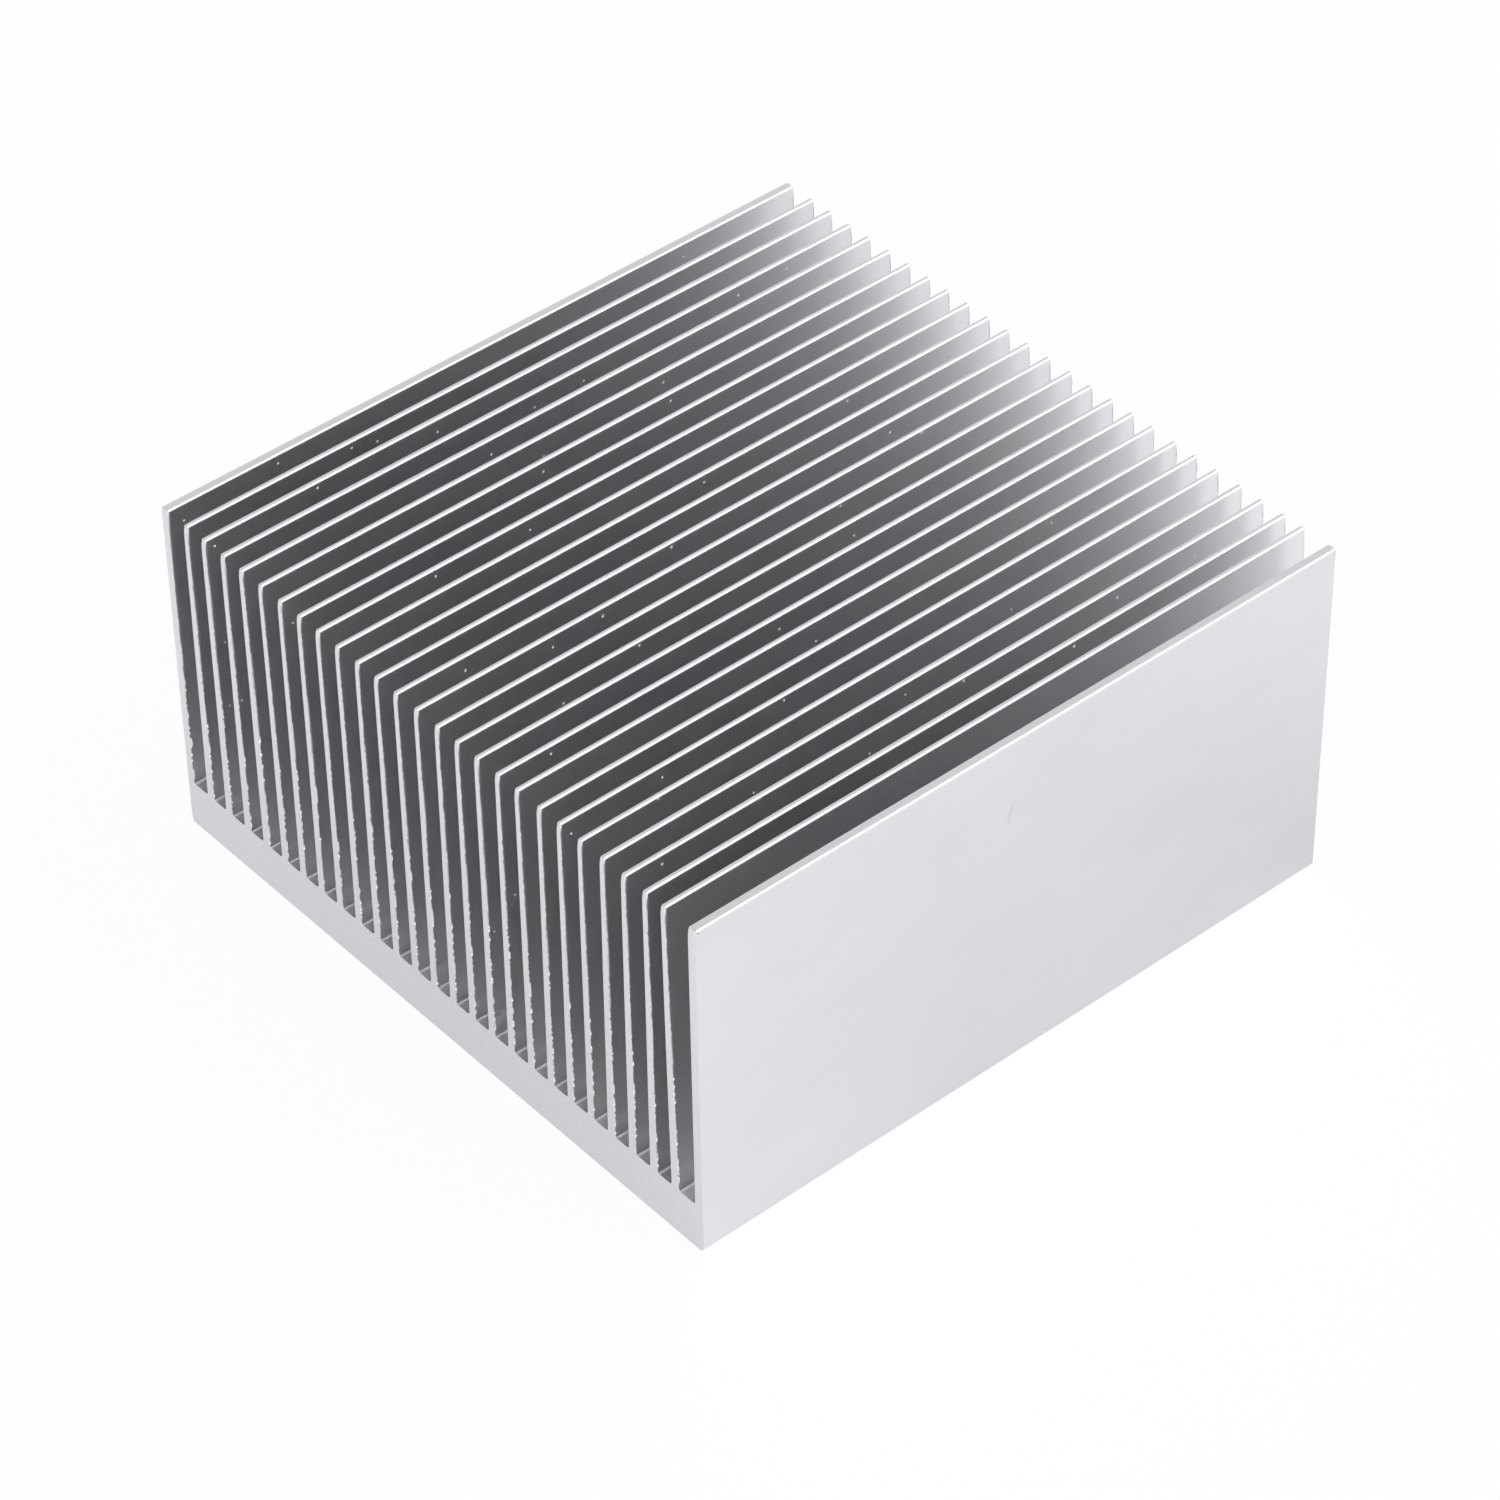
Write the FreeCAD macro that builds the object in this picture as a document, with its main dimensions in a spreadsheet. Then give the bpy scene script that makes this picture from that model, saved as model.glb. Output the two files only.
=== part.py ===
import FreeCAD, Part
import Sketcher
import os

# Finned heat sink, extruded in one piece and sawn to length.
# X runs across the fins, Y along the channels, Z up from the underside of the base.
# The origin is in the middle of the underside.

NODE = "heat_sink"

# Driving dimensions in millimetres. The two numbers of fins are plain counts.
SIZES = (
    ("width", 70.0, "over the outer faces of the side walls"),
    ("length", 70.0, "sawn length, along the channels"),
    ("height", 36.0, "underside of the base to the tips of the fins"),
    ("base_thickness", 5.0, "underside to the floor of the channels"),
    ("base_corner_radius", 0.6, "lower corners of the extrusion"),
    ("wall_thickness", 0.95, "side walls"),
    ("wall_corner_radius", 0.3, "both upper corners of a side wall"),
    ("root_fillet", 0.3, "where a fin or a wall meets the channel floor"),
    ("edge_channel", 2.0, "floor width of the first and the last channel"),
    ("shoulder_fins", 4, "thicker fins in the row beside each side wall"),
    ("shoulder_root", 0.95, "thickness of a shoulder fin at the channel floor"),
    ("shoulder_tip", 0.6, "thickness of a shoulder fin at its tip"),
    ("middle_fins", 17, "fins in the row between the two shoulder rows"),
    ("middle_root", 0.85, "thickness of a middle fin at the channel floor"),
    ("middle_tip", 0.56, "thickness of a middle fin at its tip"),
    ("tip_corner_radius", 0.15, "both corners of a fin's tip"),
)

# The largest share of a thin wall's thickness that the rounding of one of its corners takes.
ROUNDING_SHARE = 0.45

doc = FreeCAD.newDocument("heat_sink")

sheet = doc.addObject("Spreadsheet::Sheet", "sizes")
for row, (alias, value, meaning) in enumerate(SIZES, start=1):
    sheet.set(f"A{row}", alias)
    sheet.set(f"B{row}", str(value))
    sheet.set(f"C{row}", meaning)
    sheet.setAlias(f"B{row}", alias)
doc.recompute()

body = doc.addObject("PartDesign::Body", "Body")
body.Label = NODE

# What the walls, the two edge channels and the roots of the fins leave of the width is shared equally by the
# channels between the fins.
ROOTS = "(2 * sizes.shoulder_fins * sizes.shoulder_root + sizes.middle_fins * sizes.middle_root)"
SIDES = "2 * (sizes.wall_thickness + sizes.edge_channel)"
CHANNEL = f"((sizes.width - {SIDES} - {ROOTS}) / (2 * sizes.shoulder_fins + sizes.middle_fins - 1))"
SHOULDER_PITCH = f"({CHANNEL} + sizes.shoulder_root)"
MIDDLE_PITCH = f"({CHANNEL} + sizes.middle_root)"
OUTERMOST_FIN = "(sizes.width / 2 - sizes.wall_thickness - sizes.edge_channel - sizes.shoulder_root / 2)"
MIDDLE_ROW_END = f"((sizes.middle_fins - 1) / 2 * {MIDDLE_PITCH})"

# How a sketch counts its own origin point and axes, and the two ends of a line in it.
ORIGIN = (-1, 1)
X_AXIS_INDEX = -1
Z_AXIS_INDEX = -2
START_INDEX = 1
END_INDEX = 2


def origin_feature(role):
    """The body's own plane or axis with this role."""
    return next(item for item in body.Origin.OriginFeatures if item.Role == role)


def number(expression):
    """What an expression of the sheet's sizes comes to now."""
    return float(body.evalExpression(expression))


def bind(sketch, expression, *constraint):
    """Adds a dimension with the expression's value to the sketch and ties it to the sheet."""
    index = sketch.addConstraint(Sketcher.Constraint(*constraint, number(expression)))
    sketch.setExpression(f"Constraints[{index}]", expression)


def upright_line(sketch, side, distance):
    """A construction line up from the underside, at a distance to the right (side 1) or left (side -1)."""
    x = side * number(distance)
    top = number("sizes.height")
    line = sketch.addGeometry(Part.LineSegment(FreeCAD.Vector(x, 0, 0), FreeCAD.Vector(x, top, 0)), True)
    sketch.addConstraint(Sketcher.Constraint("Vertical", line))
    sketch.addConstraint(Sketcher.Constraint("PointOnObject", line, START_INDEX, X_AXIS_INDEX))
    bind(sketch, "sizes.height", "DistanceY", line, START_INDEX, line, END_INDEX)
    foot = (line, START_INDEX)
    ends = (*ORIGIN, *foot) if side > 0 else (*foot, *ORIGIN)
    bind(sketch, distance, "DistanceX", *ends)
    return line


def add_section(name, corners, side=1, distance=None):
    """A closed sketch across the extrusion, symmetric about an upright line.

    A corner of its right half is (width across to the mirrored corner, height, radius or None), lowest
    first. The line is the middle of the extrusion, or stands at a distance from it.
    """
    sketch = body.newObject("Sketcher::SketchObject", name)
    sketch.AttachmentSupport = (origin_feature("XZ_Plane"), "")
    sketch.MapMode = "FlatFace"

    middle = side * number(distance) if distance else 0.0
    right = [FreeCAD.Vector(middle + number(wide) / 2, number(high), 0) for wide, high, radius in corners]
    left = [FreeCAD.Vector(2 * middle - spot.x, spot.y, 0) for spot in reversed(right)]
    outline = right + left
    count = len(outline)
    for k in range(count):
        sketch.addGeometry(Part.LineSegment(outline[k], outline[(k + 1) % count]))
    for k in range(count):
        sketch.addConstraint(Sketcher.Constraint("Coincident", (k - 1) % count, END_INDEX, k, START_INDEX))

    axis = upright_line(sketch, side, distance) if distance else Z_AXIS_INDEX
    for k, (width, height, radius) in enumerate(corners):
        mirrored = count - 1 - k
        sketch.addConstraint(Sketcher.Constraint("Symmetric", mirrored, START_INDEX, k, START_INDEX, axis))
        bind(sketch, width, "DistanceX", mirrored, START_INDEX, k, START_INDEX)
        if number(height):
            bind(sketch, height, "DistanceY", *ORIGIN, k, START_INDEX)
        else:
            sketch.addConstraint(Sketcher.Constraint("PointOnObject", k, START_INDEX, X_AXIS_INDEX))
    doc.recompute()

    # Each rounded corner becomes an arc and a point that keeps the corner's place.
    for k, (width, height, radius) in enumerate(corners):
        if radius:
            for corner in (k, count - 1 - k):
                arc = sketch.GeometryCount
                sketch.fillet(corner, START_INDEX, number(radius), True, True)
                bind(sketch, radius, "Radius", arc)
    return sketch


def extrude(name, section):
    """The section pulled to the full length, half of it on each side of the middle."""
    pad = body.newObject("PartDesign::Pad", name)
    pad.Profile = section
    pad.SideType = "Symmetric"
    pad.setExpression("Length", "sizes.length")
    doc.recompute()
    return pad


def add_fin_row(name, side, distance, fins, pitch, root, tip):
    """A row of tapered fins on the channel floor.

    The first fin stands at the distance from the middle, and the row runs from it towards the other side.
    A fin has a foot that is sunk in the base, so that its root fillets have a floor to run out on.
    """
    fin = (
        (pitch, "sizes.base_thickness / 2", None),
        (pitch, "sizes.base_thickness", None),
        (root, "sizes.base_thickness", "sizes.root_fillet"),
        (tip, "sizes.height", f"min(sizes.tip_corner_radius; {ROUNDING_SHARE} * {tip})"),
    )
    pad = extrude(f"{name}_fin", add_section(f"{name}_fin_section", fin, side, distance))
    row = body.newObject("PartDesign::LinearPattern", f"{name}_row")
    row.Originals = [pad]
    row.Direction = (origin_feature("X_Axis"), [""])
    row.Reversed = side > 0
    row.Mode = "Spacing"
    row.setExpression("Offset", pitch)
    row.setExpression("Occurrences", fins)
    body.Tip = row
    doc.recompute()
    return row


# The base and both side walls are one section, like a shallow tray seen from its end.
INNER_WIDTH = "(sizes.width - 2 * sizes.wall_thickness)"
WALL_ROUNDING = f"min(sizes.wall_corner_radius; {ROUNDING_SHARE} * sizes.wall_thickness)"
TRAY = (
    ("sizes.width", "0", "sizes.base_corner_radius"),
    ("sizes.width", "sizes.height", WALL_ROUNDING),
    (INNER_WIDTH, "sizes.height", WALL_ROUNDING),
    (INNER_WIDTH, "sizes.base_thickness", "sizes.root_fillet"),
)
extrude("tray", add_section("tray_section", TRAY))

SHOULDER = ("sizes.shoulder_fins", SHOULDER_PITCH, "sizes.shoulder_root", "sizes.shoulder_tip")
MIDDLE = ("sizes.middle_fins", MIDDLE_PITCH, "sizes.middle_root", "sizes.middle_tip")
add_fin_row("right_shoulder", 1, OUTERMOST_FIN, *SHOULDER)
add_fin_row("middle", 1, MIDDLE_ROW_END, *MIDDLE)
add_fin_row("left_shoulder", -1, OUTERMOST_FIN, *SHOULDER)

for item in doc.Objects:
    if "Invalid" in item.State or "Error" in item.State:
        raise RuntimeError(f"{item.Name} failed: {item.State}")
if body.Shape.isNull() or not body.Shape.isValid() or len(body.Shape.Solids) != 1:
    raise RuntimeError("the heat sink is not one valid solid")

os.makedirs("parts", exist_ok=True)
body.Shape.exportStep(f"parts/{body.Label}.step")
print(body.Label, "volume", body.Shape.Volume, "faces", len(body.Shape.Faces), body.Shape.BoundBox)
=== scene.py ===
import math

import bmesh
import bpy
from mathutils import Matrix, Vector


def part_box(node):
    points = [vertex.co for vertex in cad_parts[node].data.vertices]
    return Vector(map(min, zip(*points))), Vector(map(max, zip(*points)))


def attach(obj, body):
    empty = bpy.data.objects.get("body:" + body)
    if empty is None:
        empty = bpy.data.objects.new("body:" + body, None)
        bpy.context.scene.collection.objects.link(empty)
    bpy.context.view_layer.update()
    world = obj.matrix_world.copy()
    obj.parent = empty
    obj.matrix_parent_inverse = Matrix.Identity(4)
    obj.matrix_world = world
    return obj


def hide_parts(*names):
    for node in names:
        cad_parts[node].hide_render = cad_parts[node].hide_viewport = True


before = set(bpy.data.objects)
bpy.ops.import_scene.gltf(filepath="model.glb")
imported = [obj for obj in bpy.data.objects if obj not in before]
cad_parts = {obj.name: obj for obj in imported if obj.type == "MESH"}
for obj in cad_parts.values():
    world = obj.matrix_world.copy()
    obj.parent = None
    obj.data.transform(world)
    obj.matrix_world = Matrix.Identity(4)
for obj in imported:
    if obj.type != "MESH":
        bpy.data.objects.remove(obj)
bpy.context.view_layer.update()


# The extrusion: a flat base, two side walls and 25 tapered fins, pressed through a die as one bar of aluminium
# alloy and sawn to length. The walls and fins are grown out of the base slab, and each fin has the slight lean
# and wave that it took as the hot bar left the die.
MM = 0.001
low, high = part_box("heat_sink")
WIDTH = high.x - low.x
LENGTH = high.y - low.y
HEIGHT = high.z - low.z
BASE_THICKNESS = 5.0 * MM
BASE_CORNER_RADIUS = 0.6 * MM
WALL_THICKNESS = 0.95 * MM
WALL_CORNER_RADIUS = 0.22 * MM
ROOT_FILLET = 0.3 * MM
EDGE_CHANNEL = 2.0 * MM
SHOULDER_FINS = 4
SHOULDER_ROOT = 0.95 * MM
SHOULDER_TIP = 0.55 * MM
MIDDLE_FINS = 17
MIDDLE_ROOT = 0.85 * MM
MIDDLE_TIP = 0.51 * MM
TIP_CORNER_RADIUS = 0.22 * MM

# How far the left wall leans in, and how far each fin's tip stands to the right of its root, from left to right, in
# hundredths of a millimetre. The last fin leans the most, away from the right wall.
LEFT_WALL_LEAN = 30
FIN_LEANS = (32, 11, 7, -5, -6, -2, 0, -7, -2, 2, -5, -9, -1, 13, 8, 6, 7, -5, 14, 2, 3, 15, 5, -5, -55)
HUNDREDTH = 0.01 * MM

# The middles of the fins' roots: what the walls, the two edge channels and the roots leave of the width is shared
# by the channels between the fins.
fin_roots = [SHOULDER_ROOT] * SHOULDER_FINS + [MIDDLE_ROOT] * MIDDLE_FINS + [SHOULDER_ROOT] * SHOULDER_FINS
fin_tips = [SHOULDER_TIP] * SHOULDER_FINS + [MIDDLE_TIP] * MIDDLE_FINS + [SHOULDER_TIP] * SHOULDER_FINS
channel = (WIDTH - 2 * (WALL_THICKNESS + EDGE_CHANNEL) - sum(fin_roots)) / (len(fin_roots) - 1)
fin_middles = []
edge = -WIDTH / 2 + WALL_THICKNESS + EDGE_CHANNEL
for root in fin_roots:
    fin_middles.append(edge + root / 2)
    edge += root + channel

# Corners this near to a plane count as lying in it, and a face counts as facing a way from this cosine on. What
# stands farther out than beside_wall belongs to a side wall.
NEAR = 0.01 * MM
FACING = 0.9
beside_wall = WIDTH / 2 - WALL_THICKNESS - EDGE_CHANNEL / 2
half_length = LENGTH / 2
fin_height = HEIGHT - BASE_THICKNESS


def choose(kind, belongs):
    """In edit mode, selects the edges or faces that pass the test, and nothing else."""
    bpy.ops.mesh.select_mode(type=kind)
    bpy.ops.mesh.select_all(action="DESELECT")
    mesh = bmesh.from_edit_mesh(bpy.context.object.data)
    for part in mesh.edges if kind == "EDGE" else mesh.faces:
        if belongs(part):
            part.select_set(True)
    bmesh.update_edit_mesh(bpy.context.object.data)


def at_height(part, z):
    """True if all corners of the edge or face are at this height."""
    return all(abs(corner.co.z - z) < NEAR for corner in part.verts)


def is_foot(face):
    """True if the face is a wall's or a fin's place on the slab's top."""
    middle = face.calc_center_median()
    return at_height(face, BASE_THICKNESS) and any(start < middle.x < end for start, end in feet)


bpy.ops.object.select_all(action="DESELECT")
bpy.ops.mesh.primitive_cube_add(
    size=1, location=(0, 0, BASE_THICKNESS / 2), scale=(WIDTH, LENGTH, BASE_THICKNESS)
)
block = bpy.context.object
block.name = "finned_block"
bpy.ops.object.transform_apply(location=True, rotation=True, scale=True)
bpy.ops.object.mode_set(mode="EDIT")

# The feet of the walls and fins are marked on the slab's top and grown to the full height.
feet = [(middle - root / 2, middle + root / 2) for middle, root in zip(fin_middles, fin_roots)]
feet.insert(0, (-WIDTH / 2, -WIDTH / 2 + WALL_THICKNESS))
feet.append((WIDTH / 2 - WALL_THICKNESS, WIDTH / 2))
for x in sorted(x for foot in feet for x in foot)[1:-1]:
    choose("FACE", lambda face: at_height(face, BASE_THICKNESS))
    bpy.ops.mesh.bisect(plane_co=(x, 0, 0), plane_no=(1, 0, 0))
choose("FACE", is_foot)
bpy.ops.mesh.extrude_region_move(TRANSFORM_OT_translate={"value": (0, 0, fin_height)})

# Each fin narrows to its tip and leans a little, and the left wall leans in.
for middle, root, tip, lean in zip(fin_middles, fin_roots, fin_tips, FIN_LEANS):
    choose("FACE", lambda face: at_height(face, HEIGHT) and abs(face.calc_center_median().x - middle) < root / 2)
    bpy.ops.transform.resize(value=(tip / root, 1, 1), center_override=(middle, 0, HEIGHT))
    bpy.ops.transform.translate(value=(lean * HUNDREDTH, 0, 0))
choose("FACE", lambda face: at_height(face, HEIGHT) and face.calc_center_median().x < -beside_wall)
bpy.ops.transform.translate(value=(LEFT_WALL_LEAN * HUNDREDTH, 0, 0))

# What the saw and handling take off the ends: the outer edges, and the front and back corners of the tops.
BROKEN_EDGE = 0.1 * MM
BROKEN_CORNER = 0.13 * MM


def runs_along(edge):
    """True if the edge runs along the channels."""
    start, end = (corner.co for corner in edge.verts)
    return abs(end.y - start.y) > half_length


def runs_across(edge):
    """True if the edge runs straight across the channels."""
    start, end = (corner.co for corner in edge.verts)
    return abs(end.y - start.y) < NEAR and abs(end.z - start.z) < NEAR


def is_top_side(edge):
    """True if the edge runs along a side of a fin's or a wall's top, and down its rounded corners at the ends."""
    return all(corner.co.z > HEIGHT - BROKEN_CORNER - NEAR for corner in edge.verts) and not runs_across(edge)


def is_outer_saw_edge(edge):
    """True if the edge is on the outside of an end, apart from the fins' and walls' tops."""
    start, end = (corner.co for corner in edge.verts)
    if abs(abs(start.y) - half_length) > NEAR or abs(end.y - start.y) > NEAR:
        return False
    if start.z > HEIGHT - BROKEN_CORNER or end.z > HEIGHT - BROKEN_CORNER:
        return False
    outward = sum(face.normal.x for face in edge.link_faces if abs(face.normal.x) > FACING)
    at_wall = abs(start.x) > beside_wall and start.x * outward > 0
    return start.z < NEAR and end.z < NEAR or at_wall


# The roundings that the die gives, along the roots, the fins' tips, the walls' tops and the base's corners, and
# those that the saw and handling give to the ends.
choose("EDGE", lambda edge: runs_along(edge) and at_height(edge, BASE_THICKNESS))
bpy.ops.mesh.bevel(offset=ROOT_FILLET, segments=4, affect="EDGES")
choose("EDGE", lambda edge: runs_across(edge) and at_height(edge, HEIGHT))
bpy.ops.mesh.bevel(offset=BROKEN_CORNER, segments=4, affect="EDGES")
choose("EDGE", lambda edge: is_top_side(edge) and abs(edge.verts[0].co.x) < beside_wall)
bpy.ops.mesh.bevel(offset=TIP_CORNER_RADIUS, segments=4, affect="EDGES")
choose("EDGE", lambda edge: is_top_side(edge) and abs(edge.verts[0].co.x) > beside_wall)
bpy.ops.mesh.bevel(offset=WALL_CORNER_RADIUS, segments=4, affect="EDGES")
choose("EDGE", lambda edge: runs_along(edge) and at_height(edge, 0) and abs(edge.verts[0].co.x) > beside_wall)
bpy.ops.mesh.bevel(offset=BASE_CORNER_RADIUS, segments=6, affect="EDGES")
choose("EDGE", is_outer_saw_edge)
bpy.ops.mesh.bevel(offset=BROKEN_EDGE, segments=2, affect="EDGES")

# The block is cut into short pieces, so that the fins can bend: from root to tip and from end to end, and close to
# the ends, where the burrs begin and the rounded corners stop.
BENDS_UP = 7
BENDS_ALONG = 6
BURR_DEPTH = 0.12 * MM
CORNER_ZONE = 0.4 * MM


def slice_block(axis, places):
    """Cuts new edges round the block at these places along an axis."""
    for place in places:
        bpy.ops.mesh.select_all(action="SELECT")
        bpy.ops.mesh.bisect(plane_co=place * axis, plane_no=axis)


along = [step / (BENDS_ALONG / 2) * half_length for step in range(1 - BENDS_ALONG // 2, BENDS_ALONG // 2)]
for inset in (BURR_DEPTH, CORNER_ZONE):
    along += [-half_length + inset, half_length - inset]
slice_block(Vector((0, 1, 0)), along)
levels = [BASE_THICKNESS + fin_height * step / BENDS_UP for step in range(1, BENDS_UP)]
slice_block(Vector((0, 0, 1)), levels + [HEIGHT - CORNER_ZONE])

# The saw drags the metal out in fine burrs along each channel's left side at both ends, and something has struck
# the left wall's front edge low down.
BURR_CUTS = 23
NICK_HEIGHT = 10 * MM
NICK_LENGTH = 0.8 * MM
NICK_DEPTH = 0.35 * MM


def is_saw_burr_edge(edge):
    """True if the edge runs up a channel's left side at an end, or where the burr of that end begins."""
    start, end = (corner.co for corner in edge.verts)
    near_end = min(abs(abs(start.y) - half_length), abs(abs(start.y) - half_length + BURR_DEPTH)) < NEAR
    upright = abs(end.z - start.z) > fin_height / BENDS_UP / 2 and abs(end.y - start.y) < NEAR
    faces_right = any(face.normal.x > FACING for face in edge.link_faces)
    return near_end and upright and faces_right and start.x < beside_wall


def in_nick(edge):
    """True if the edge is a piece of the struck place."""
    return all(
        corner.co.y < NEAR - half_length and -WIDTH / 2 + WALL_THICKNESS / 2 < corner.co.x < -beside_wall
        and abs(corner.co.z - NICK_HEIGHT) < NICK_LENGTH / 2 for corner in edge.verts
    )


choose("EDGE", is_saw_burr_edge)
bpy.ops.mesh.subdivide(number_cuts=BURR_CUTS, ngon=True)
choose("EDGE", in_nick)
bpy.ops.transform.translate(value=(NICK_DEPTH, 0, 0))
bpy.ops.object.mode_set(mode="OBJECT")

# The waves are long along the fins and don't change up a fin. Of the pattern of the burrs only the peaks count, so
# that the burrs stand apart: they are largest near the roots, and smaller at the far end.
WAVE_LENGTH = 14 * MM
WAVE_STRETCH = (0.25, 8, 1)
WAVE_HEIGHT = 0.12 * MM
BURR_SPACING = 0.16 * MM
BURR_SIZE = 0.21 * MM
BURR_SHARE_AT_ROOT = 0.8
BURR_SHARE_LOST_UP = 0.5
BURR_SHARE_FAR_END = 0.4
BURR_TOP = 0.97
on_right_side = {
    index
    for face in block.data.polygons if face.normal.x > FACING and face.center.x < beside_wall
    for index in face.vertices
}


def height_on_fin(corner):
    """0 at the root of a fin and 1 at its tip. The walls and the base don't bend."""
    up = corner.co.z - BASE_THICKNESS - ROOT_FILLET
    return 0 if abs(corner.co.x) > beside_wall else max(0, up / fin_height)


def burr_weight(corner):
    """How far the saw drags a corner out: most near the roots, nothing on the tips and away from the ends."""
    up = corner.co.z - BASE_THICKNESS - ROOT_FILLET
    at_end = abs(abs(corner.co.y) - half_length) < NEAR
    if corner.index not in on_right_side or not at_end or not NEAR < up < fin_height * BURR_TOP:
        return 0
    share = BURR_SHARE_AT_ROOT - BURR_SHARE_LOST_UP * up / fin_height
    return share if corner.co.y < 0 else share * BURR_SHARE_FAR_END


def displace(name, weights, size, stretch, strength, contrast, brightness, still):
    """Moves the block's corners across the fins by a cloud pattern, each by its weight.

    Where the pattern has the value called still, the corners stay in place.
    """
    group = block.vertex_groups.new(name=name)
    for corner in block.data.vertices:
        weight = weights(corner)
        if weight > 0:
            group.add([corner.index], weight, "REPLACE")
    clouds = bpy.data.textures.new(name, "CLOUDS")
    clouds.noise_scale = size
    clouds.noise_depth = 1
    clouds.contrast = contrast
    clouds.intensity = brightness
    bpy.ops.object.empty_add()
    pattern = bpy.context.object
    pattern.scale = stretch
    bpy.context.view_layer.update()
    bpy.context.view_layer.objects.active = block
    modifier = block.modifiers.new(name, "DISPLACE")
    modifier.texture = clouds
    modifier.texture_coords = "OBJECT"
    modifier.texture_coords_object = pattern
    modifier.direction = "X"
    modifier.strength = strength
    modifier.mid_level = still
    modifier.vertex_group = name
    bpy.ops.object.modifier_apply(modifier=name)
    bpy.data.objects.remove(pattern)


displace(
    "fin_waves", height_on_fin, size=WAVE_LENGTH, stretch=WAVE_STRETCH, strength=WAVE_HEIGHT,
    contrast=1, brightness=1, still=0.5,
)
displace(
    "saw_burrs", burr_weight, size=BURR_SPACING, stretch=(1, 1, 1), strength=BURR_SIZE,
    contrast=4, brightness=0.1, still=0,
)

# Roundings are smooth, cut edges stay sharp, and the large flat faces keep their normals beside a rounding.
bpy.ops.object.select_all(action="DESELECT")
block.select_set(True)
bpy.ops.object.shade_smooth_by_angle(angle=math.radians(35))
flat_faces = block.modifiers.new("flat_faces", "WEIGHTED_NORMAL")
flat_faces.keep_sharp = True
bpy.ops.object.modifier_apply(modifier=flat_faces.name)


def linear(colour):
    """An sRGB hex colour as linear red, green, blue and alpha."""
    parts = [int(colour[i:i + 2], 16) / 255 for i in (1, 3, 5)]
    return [part / 12.92 if part <= 0.04045 else ((part + 0.055) / 1.055) ** 2.4 for part in parts] + [1.0]


def add_node(tree, kind, inputs=None, **settings):
    """Adds a node. Settings are its own properties, and inputs are its sockets' values or what is linked to them."""
    node = tree.nodes.new(kind)
    for name, value in settings.items():
        setattr(node, name, value)
    for socket, value in (inputs or {}).items():
        if isinstance(value, bpy.types.NodeSocket):
            tree.links.new(value, node.inputs[socket])
        else:
            node.inputs[socket].default_value = value
    return node


def pattern_over(tree, repeat):
    """The block's own coordinates, counted in repeats of a pattern with these three sizes."""
    place = add_node(tree, "ShaderNodeTexCoord")
    return add_node(
        tree, "ShaderNodeMapping", {"Vector": place.outputs["Object"], "Scale": [1 / size for size in repeat]}
    ).outputs[0]


def spread(tree, value, start, end, low, high):
    """The value taken from one range to another, and held at the ends."""
    inputs = {"Value": value, "From Min": start, "From Max": end, "To Min": low, "To Max": high}
    return add_node(tree, "ShaderNodeMapRange", inputs).outputs[0]


DIE_LINE = (0.5 * MM, 300 * MM, 0.5 * MM)
DIE_LINE_DEPTH = 0.0006 * MM
BLOOM = (7 * MM, 14 * MM, 7 * MM)
SCRATCH_MIDDLE = (35 * MM, -1.7 * MM, 28.5 * MM)
SCRATCH_TURN = (35 * MM, 1.1 * MM, 27.5 * MM)
SCRATCH_RADIUS = 3 * MM
SCRATCH_WIDTH = 0.2 * MM


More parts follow.
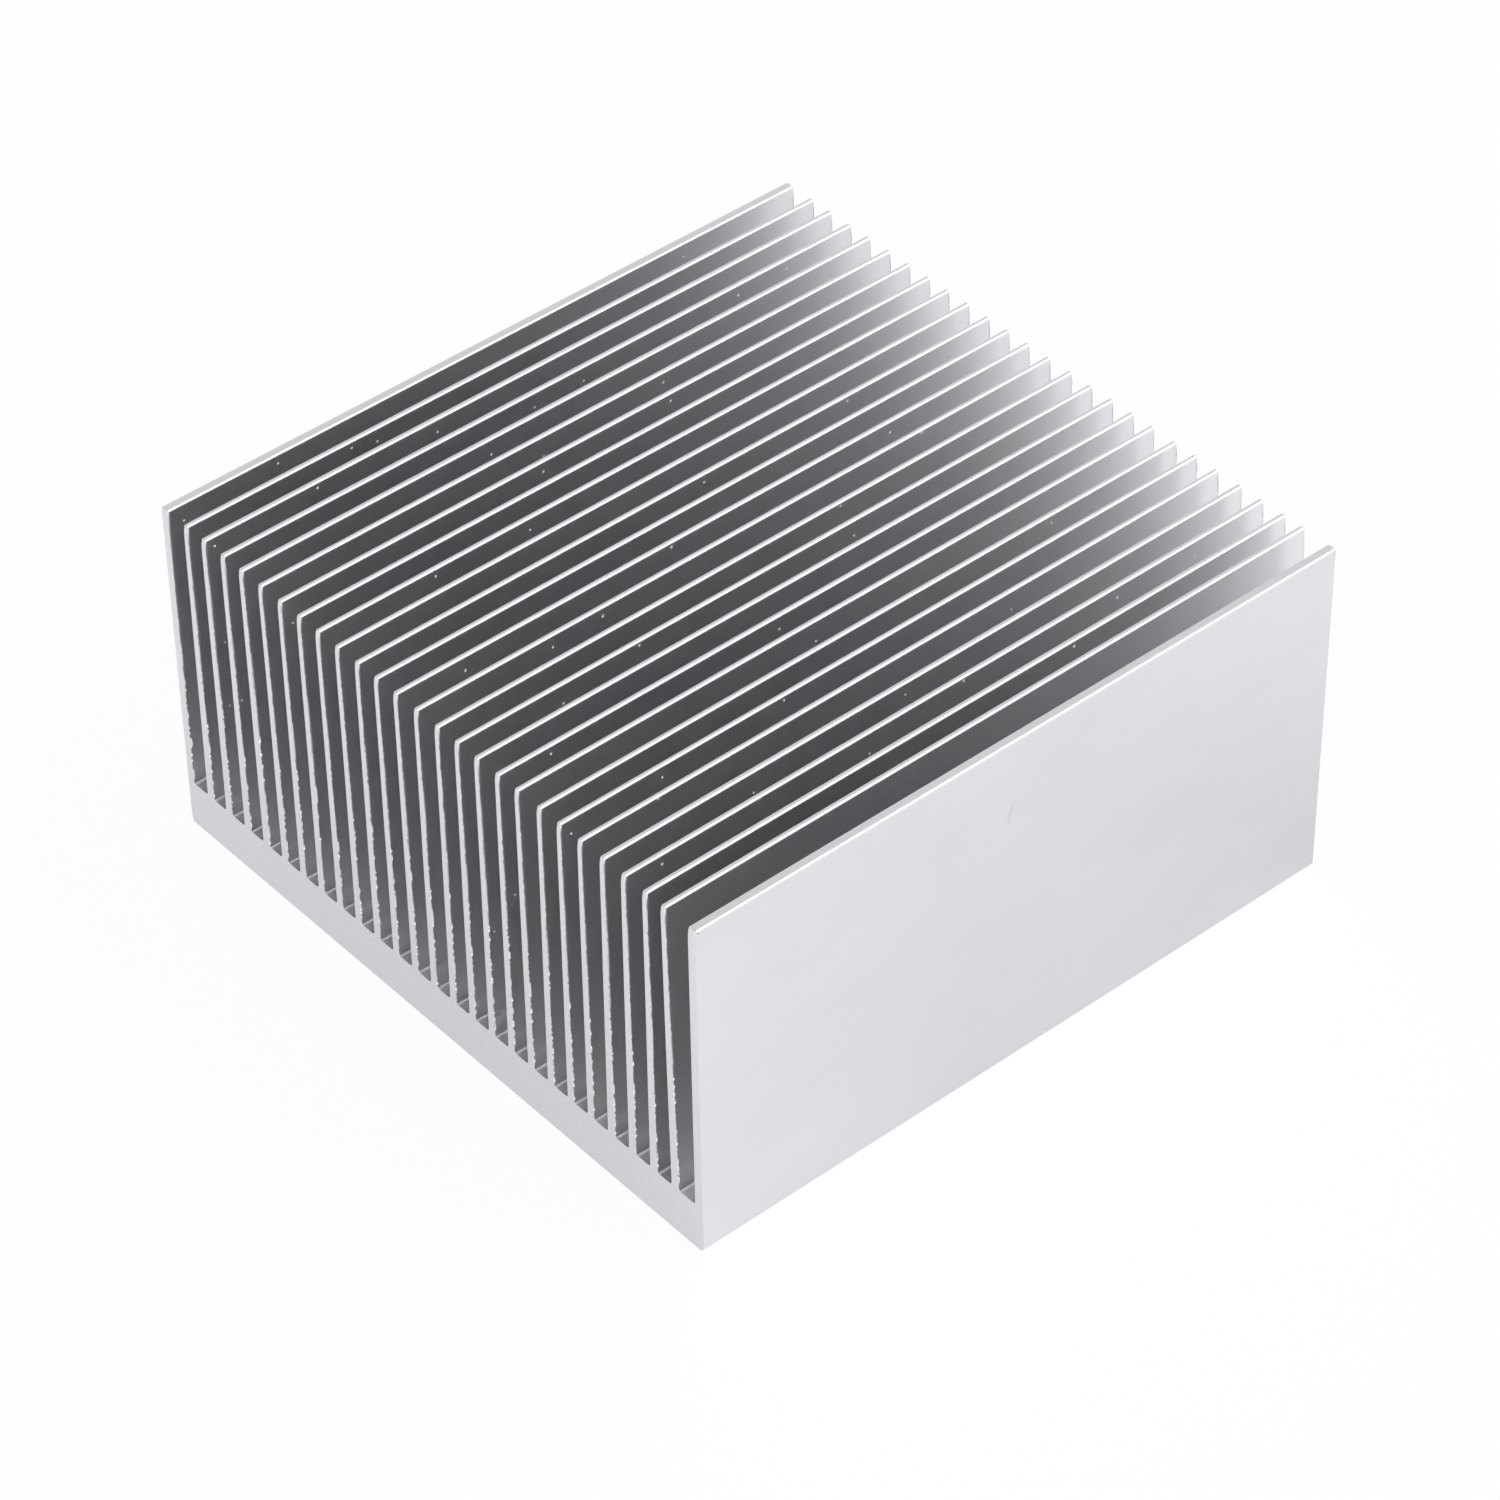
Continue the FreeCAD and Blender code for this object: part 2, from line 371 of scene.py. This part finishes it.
def mill_finish_aluminium():
    """6063 alloy as it leaves the die, neither anodised nor polished: a pale metal with a satin sheen, very faint
    lines along the bar from the die's edge, and a cloudy bloom of oxide. The real lines are finer than 0.1 mm, and
    they are drawn wider so that they show."""
    material = bpy.data.materials.new("mill_finish_aluminium")
    material.use_nodes = True
    tree = material.node_tree
    shader = tree.nodes["Principled BSDF"]

    lines = add_node(
        tree, "ShaderNodeTexNoise",
        {"Vector": pattern_over(tree, DIE_LINE), "Scale": 1, "Detail": 2, "Roughness": 0.6},
    )
    clouds = add_node(tree, "ShaderNodeTexNoise", {"Vector": pattern_over(tree, BLOOM), "Scale": 1, "Detail": 3})
    tint = add_node(
        tree, "ShaderNodeMix",
        {0: spread(tree, clouds.outputs[0], 0.3, 0.7, 0, 1), 6: linear("#E9E8E9"), 7: linear("#ECEBEC")},
        data_type="RGBA",
    )
    rough = add_node(
        tree, "ShaderNodeMath",
        {0: spread(tree, lines.outputs[0], 0.3, 0.7, 0.31, 0.35),
         1: spread(tree, clouds.outputs[0], 0.3, 0.7, -0.02, 0.02)},
        operation="ADD",
    )
    bump = add_node(
        tree, "ShaderNodeBump", {"Strength": 1.0, "Distance": DIE_LINE_DEPTH, "Height": lines.outputs[0]}
    )

    # A faint scratch high on the right-hand wall, drawn as a short piece of a thin ring.
    place = add_node(tree, "ShaderNodeTexCoord")
    from_turn = add_node(
        tree, "ShaderNodeVectorMath", {0: place.outputs["Object"], 1: SCRATCH_TURN}, operation="DISTANCE"
    )
    from_middle = add_node(
        tree, "ShaderNodeVectorMath", {0: place.outputs["Object"], 1: SCRATCH_MIDDLE}, operation="DISTANCE"
    )
    on_ring = add_node(
        tree, "ShaderNodeMath",
        {0: from_turn.outputs["Value"], 1: SCRATCH_RADIUS, 2: SCRATCH_WIDTH / 2}, operation="COMPARE",
    )
    scratch = add_node(
        tree, "ShaderNodeMath",
        {0: on_ring.outputs[0], 1: spread(tree, from_middle.outputs["Value"], 0.7 * MM, 1.5 * MM, 1, 0)},
        operation="MULTIPLY",
    )
    worn = add_node(
        tree, "ShaderNodeMix", {0: scratch.outputs[0], 6: tint.outputs[2], 7: linear("#DADADD")}, data_type="RGBA"
    )
    tree.links.new(worn.outputs[2], shader.inputs["Base Color"])
    tree.links.new(rough.outputs[0], shader.inputs["Roughness"])
    tree.links.new(bump.outputs[0], shader.inputs["Normal"])
    shader.inputs["Metallic"].default_value = 1.0
    return material


CHANNEL_BLOOM = (3 * MM, 16 * MM, 9 * MM)
SPECK_SPACING = 8 * MM
SPECK_SHIFT = 0.3 * MM


def channel_aluminium():
    """The same pressed skin between the fins, where the light goes to and fro and loses a little each time, which
    makes the channels dark grey. Its very slight change of colour from the oxide adds up there to faint clouds."""
    material = bpy.data.materials.new("channel_aluminium")
    material.use_nodes = True
    tree = material.node_tree
    shader = tree.nodes["Principled BSDF"]
    clouds = add_node(
        tree, "ShaderNodeTexNoise", {"Vector": pattern_over(tree, CHANNEL_BLOOM), "Scale": 1, "Detail": 1}
    )
    tint = add_node(
        tree, "ShaderNodeMix",
        {0: spread(tree, clouds.outputs[0], 0.35, 0.65, 0, 1), 6: linear("#EDEDED"), 7: linear("#ECECED")},
        data_type="RGBA",
    )

    # A few specks of dust, 0.1 mm in radius and about 8 mm apart. The pattern is flat, and it is turned and shifts
    # quickly across the fins, so that each fin shows another part of it.
    place = add_node(tree, "ShaderNodeTexCoord")
    turned = add_node(
        tree, "ShaderNodeMapping",
        {"Vector": place.outputs["Object"], "Rotation": (0, math.radians(65), 0),
         "Scale": (1 / SPECK_SHIFT, 1 / SPECK_SPACING, 1 / SPECK_SPACING)},
    )
    dust = add_node(
        tree, "ShaderNodeTexVoronoi", {"Vector": turned.outputs[0], "Scale": 1}, voronoi_dimensions="2D"
    )
    tree.links.new(tint.outputs[2], shader.inputs["Base Color"])
    tree.links.new(spread(tree, dust.outputs["Distance"], 0.01, 0.018, 0, 1), shader.inputs["Metallic"])
    shader.inputs["Roughness"].default_value = 0.285
    return material


def painted_root_highlight():
    """A paler, rougher and less metallic copy of the metal in the fillet at the fins' right-hand roots: a painted
    highlight, which shows as a thin bright line.
    """
    material = bpy.data.materials.new("painted_root_highlight")
    material.use_nodes = True
    shader = material.node_tree.nodes["Principled BSDF"]
    shader.inputs["Base Color"].default_value = linear("#EEEEEE")
    shader.inputs["Metallic"].default_value = 0.4
    shader.inputs["Roughness"].default_value = 0.5
    return material


SAW_MARK = 0.45 * MM
SAW_MARK_DEPTH = 0.003 * MM
SAW_MIDDLE = (30 * MM, 0, 110 * MM)
GRAIN = (0.5 * MM, 0.5 * MM, 0.5 * MM)


def sawn_aluminium():
    """The same alloy cut by a circular saw: brighter in grain and duller than the pressed skin, with shallow arcs
    across it. The real marks are about 0.1 mm apart, and they are drawn wider so that they show."""
    material = bpy.data.materials.new("sawn_aluminium")
    material.use_nodes = True
    tree = material.node_tree
    shader = tree.nodes["Principled BSDF"]

    # The wave texture has 20 / tau rings in each unit of its coordinates.
    place = add_node(tree, "ShaderNodeTexCoord")
    from_saw = add_node(tree, "ShaderNodeMapping", {"Vector": place.outputs["Object"], "Location": SAW_MIDDLE})
    arcs = add_node(
        tree, "ShaderNodeTexWave",
        {"Vector": from_saw.outputs[0], "Scale": math.tau / 20 / SAW_MARK, "Distortion": 3, "Detail": 2,
         "Detail Scale": 0.4},
        wave_type="RINGS", rings_direction="Y",
    )
    grain = add_node(tree, "ShaderNodeTexNoise", {"Vector": pattern_over(tree, GRAIN), "Scale": 1, "Detail": 3})
    tint = add_node(
        tree, "ShaderNodeMix",
        {0: spread(tree, grain.outputs[0], 0.3, 0.7, 0, 1), 6: linear("#E7E6E7"), 7: linear("#EDECED")},
        data_type="RGBA",
    )
    rough = add_node(
        tree, "ShaderNodeMath",
        {0: spread(tree, arcs.outputs[1], 0, 1, 0.38, 0.46),
         1: spread(tree, grain.outputs[0], 0.3, 0.7, -0.03, 0.03)},
        operation="ADD",
    )
    height = add_node(tree, "ShaderNodeMath", {0: arcs.outputs[1], 1: grain.outputs[0]}, operation="ADD")
    bump = add_node(
        tree, "ShaderNodeBump", {"Strength": 1.0, "Distance": SAW_MARK_DEPTH, "Height": height.outputs[0]}
    )
    tree.links.new(tint.outputs[2], shader.inputs["Base Color"])
    tree.links.new(rough.outputs[0], shader.inputs["Roughness"])
    tree.links.new(bump.outputs[0], shader.inputs["Normal"])
    shader.inputs["Metallic"].default_value = 1.0
    return material


# The ends are sawn. Between the walls' insides, everything up to the roundings of their tops is channel, with a
# painted highlight where a fillet on the fins' right-hand side faces half up.
for material in (mill_finish_aluminium(), sawn_aluminium(), channel_aluminium(), painted_root_highlight()):
    block.data.materials.append(material)
outside, sawn, inside, root_line = range(4)
for face in block.data.polygons:
    between = abs(face.center.x) < WIDTH / 2 - WALL_THICKNESS * 0.7
    low_enough = BASE_THICKNESS - NEAR < face.center.z < HEIGHT - WALL_CORNER_RADIUS
    # Fillet faces on the fins' right-hand roots that face half up get the painted highlight.
    in_fillet = face.center.z < BASE_THICKNESS + ROOT_FILLET and 0.3 < face.normal.x < 0.7
    if abs(face.normal.y) > 0.7:
        face.material_index = sawn
    elif between and low_enough:
        face.material_index = root_line if in_fillet else inside
    else:
        face.material_index = outside
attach(block, "root")
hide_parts("heat_sink")


# The table: a white sheet that runs out of view. The camera sees it nearly white, with the block's faint shadow, and
# the metal mirrors it as a white sheet with a painted shadow: its mirrored glow is a little dimmer close to the
# block.
TABLE_SIZE = 8
SEEN_GLOW = 0.93
MIRRORED_GLOW = 0.7
PAINTED_SHADOW_MIDDLE = (0, 15 * MM, 0)
PAINTED_SHADOW_RANGE = (40 * MM, 80 * MM)
PAINTED_SHADOW_GLOWS = (0.77, 1.05)
bpy.ops.mesh.primitive_plane_add(size=TABLE_SIZE)
table = bpy.context.object
table.name = "table"
material = bpy.data.materials.new("white_table")
material.use_nodes = True
tree = material.node_tree
tree.nodes.remove(tree.nodes["Principled BSDF"])
rays = add_node(tree, "ShaderNodeLightPath")
seen = add_node(tree, "ShaderNodeMath", {0: rays.outputs["Is Camera Ray"], 1: SEEN_GLOW}, operation="MULTIPLY")
share = add_node(
    tree, "ShaderNodeMath",
    {0: rays.outputs["Is Glossy Ray"], 1: MIRRORED_GLOW, 2: seen.outputs[0]}, operation="MULTIPLY_ADD",
)
matt = add_node(tree, "ShaderNodeBsdfDiffuse", {"Color": linear("#F2F2F2")})
place = add_node(tree, "ShaderNodeTexCoord")
distance = add_node(
    tree, "ShaderNodeVectorMath", {0: place.outputs["Object"], 1: PAINTED_SHADOW_MIDDLE}, operation="DISTANCE"
)
# Painted shadow: the glow that the metal mirrors is turned down close to the block.
mirrored = spread(tree, distance.outputs["Value"], *PAINTED_SHADOW_RANGE, *PAINTED_SHADOW_GLOWS)
strength = add_node(tree, "ShaderNodeMix", {0: rays.outputs["Is Camera Ray"], 2: mirrored, 3: 1.0})
cast = add_node(
    tree, "ShaderNodeMix", {0: rays.outputs["Is Camera Ray"], 6: linear("#FAFAFF"), 7: linear("#FFFFFF")},
    data_type="RGBA",
)
glow = add_node(tree, "ShaderNodeEmission", {"Color": cast.outputs[2], "Strength": strength.outputs[0]})
mixed = add_node(tree, "ShaderNodeMixShader", {0: share.outputs[0], 1: matt.outputs[0], 2: glow.outputs[0]})
tree.links.new(mixed.outputs[0], tree.nodes["Material Output"].inputs["Surface"])
table.data.materials.append(material)


# The surround: white walls that are brighter on the right than on the left, a dimmer ceiling, and one large soft
# lamp up behind the block on the right, which draws the thin bright lines on the tips. The camera sees plain white.
LEFT_GLOW = 0.76
RIGHT_GLOW = 1.12
TOP_GLOW = 0.5
LAMP_GLOW = 1.6
LAMP_DIRECTION = (0.55, 0.5, 0.67)
world = bpy.data.worlds.new("surround")
world.use_nodes = True
tree = world.node_tree
direction = add_node(tree, "ShaderNodeTexCoord")
parts = add_node(tree, "ShaderNodeSeparateXYZ", {0: direction.outputs["Generated"]})
side = spread(tree, parts.outputs["X"], -0.6, 0.6, LEFT_GLOW, RIGHT_GLOW)
top = add_node(
    tree, "ShaderNodeMapRange",
    {"Value": parts.outputs["Z"], "From Min": 0.74, "From Max": 0.94, "To Min": side, "To Max": TOP_GLOW},
    interpolation_type="SMOOTHSTEP",
)
toward = add_node(
    tree, "ShaderNodeVectorMath", {0: direction.outputs["Generated"], 1: LAMP_DIRECTION}, operation="DOT_PRODUCT"
)
lamp = add_node(
    tree, "ShaderNodeMapRange",
    {"Value": toward.outputs["Value"], "From Min": 0.8, "From Max": 0.97, "To Min": 0.0, "To Max": LAMP_GLOW},
    interpolation_type="SMOOTHSTEP",
)
glow = add_node(tree, "ShaderNodeMath", {0: top.outputs["Result"], 1: lamp.outputs["Result"]}, operation="ADD")
rays = add_node(tree, "ShaderNodeLightPath")
strength = add_node(tree, "ShaderNodeMix", {0: rays.outputs["Is Camera Ray"], 2: glow.outputs[0], 3: 1.0})
tree.nodes["Background"].inputs["Color"].default_value = linear("#FCFCFF")
tree.links.new(strength.outputs[0], tree.nodes["Background"].inputs["Strength"])
bpy.context.scene.world = world

# Light goes back and forth between two fins many times before it leaves a channel.
CHANNEL_BOUNCES = 24
bpy.context.scene.cycles.max_bounces = CHANNEL_BOUNCES
bpy.context.scene.cycles.glossy_bounces = CHANNEL_BOUNCES
bpy.context.scene.cycles.blur_glossy = 0.0
bpy.context.scene.view_settings.view_transform = "Standard"


# The camera: it stands in front and to the right, well above the block, and looks at a point near its middle.
CAMERA_TARGET = Vector((6.224, -4.955, 18.0)) * MM
CAMERA_AZIMUTH = math.radians(49.889)
CAMERA_ELEVATION = math.radians(41.607)
CAMERA_ROLL = math.radians(-0.957)
CAMERA_DISTANCE = 471.10 * MM
SENSOR_WIDTH = 36
FOCAL_LENGTH = 133.186
lens = bpy.data.cameras.new("camera")
lens.sensor_width = SENSOR_WIDTH
lens.lens = FOCAL_LENGTH
lens.clip_start = 10 * MM
camera = bpy.data.objects.new("camera", lens)
bpy.context.scene.collection.objects.link(camera)
away = Vector((
    math.sin(CAMERA_AZIMUTH) * math.cos(CAMERA_ELEVATION),
    -math.cos(CAMERA_AZIMUTH) * math.cos(CAMERA_ELEVATION),
    math.sin(CAMERA_ELEVATION),
))
turn = (-away).to_track_quat("-Z", "Y").to_matrix() @ Matrix.Rotation(CAMERA_ROLL, 3, "Z")
camera.matrix_world = Matrix.Translation(CAMERA_TARGET + away * CAMERA_DISTANCE) @ turn.to_4x4()
bpy.context.scene.camera = camera
